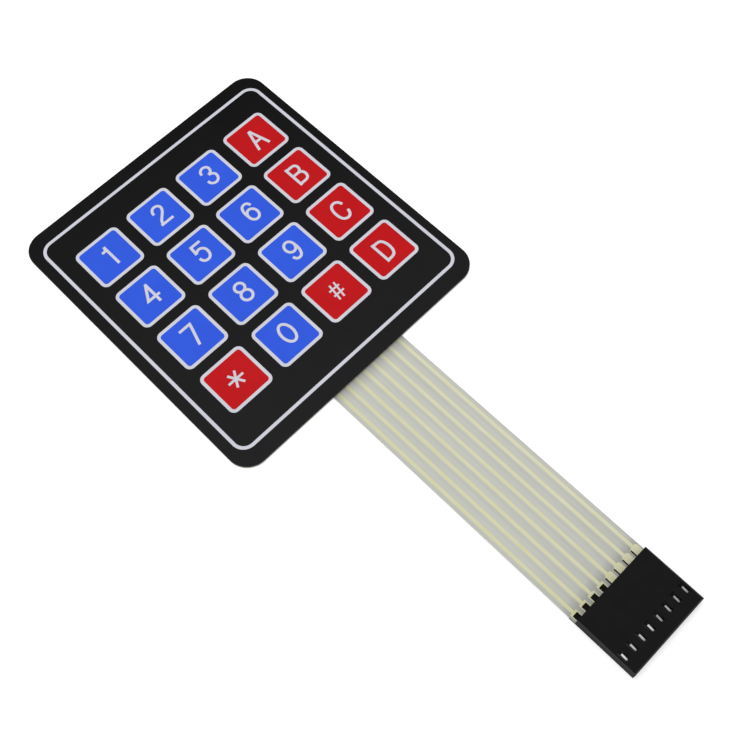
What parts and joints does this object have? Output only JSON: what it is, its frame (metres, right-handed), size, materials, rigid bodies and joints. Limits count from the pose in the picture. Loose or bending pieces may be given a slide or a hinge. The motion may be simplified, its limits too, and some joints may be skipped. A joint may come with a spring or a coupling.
{
  "type": "matrix keypad",
  "caption": "Flat membrane keypad with a square grid of printed keys, a flat film tail and a pin-socket connector at its end.",
  "frame": {"origin": "middle of the pad's rear face, the face that is stuck down", "axes": "+Z out of the keys, +Y up the pad towards its first row, +X along a row; the tail runs along -Y"},
  "size_m": [0.069, 0.1564, 0.0025],
  "materials": {
    "overlay_black": "fine matte texture",
    "blue_print": "printed, fine matte texture",
    "red_print": "printed, fine matte texture",
    "white_print": "printed, fine matte texture",
    "adhesive_dark": "adhesive sheet",
    "circuit_film": "milky translucent film",
    "conductive_ink": "printed conductive ink",
    "rear_adhesive": "adhesive sheet",
    "liner_paper": "release-coated paper",
    "connector_black": "moulded, satin",
    "terminal_metal": "tin-plated, bright"
  },
  "bodies": {
    "root": {"overlay": "overlay_black", "blue_key_print": "blue_print", "red_key_print": "red_print", "key_outline_print": "white_print", "border_line_print": "white_print", "overlay_adhesive": "adhesive_dark", "upper_circuit_film": "circuit_film", "column_circuit": "conductive_ink", "spacer": "adhesive_dark", "circuit_link_dots": "conductive_ink", "row_circuit": "conductive_ink", "lower_circuit_film": "circuit_film", "rear_adhesive": "rear_adhesive", "release_liner": "liner_paper", "connector_housing": "connector_black", "terminal_1": "terminal_metal", "terminal_2": "terminal_metal", "terminal_3": "terminal_metal", "terminal_4": "terminal_metal", "terminal_5": "terminal_metal", "terminal_6": "terminal_metal", "terminal_7": "terminal_metal", "terminal_8": "terminal_metal"}
  },
  "joints": []
}
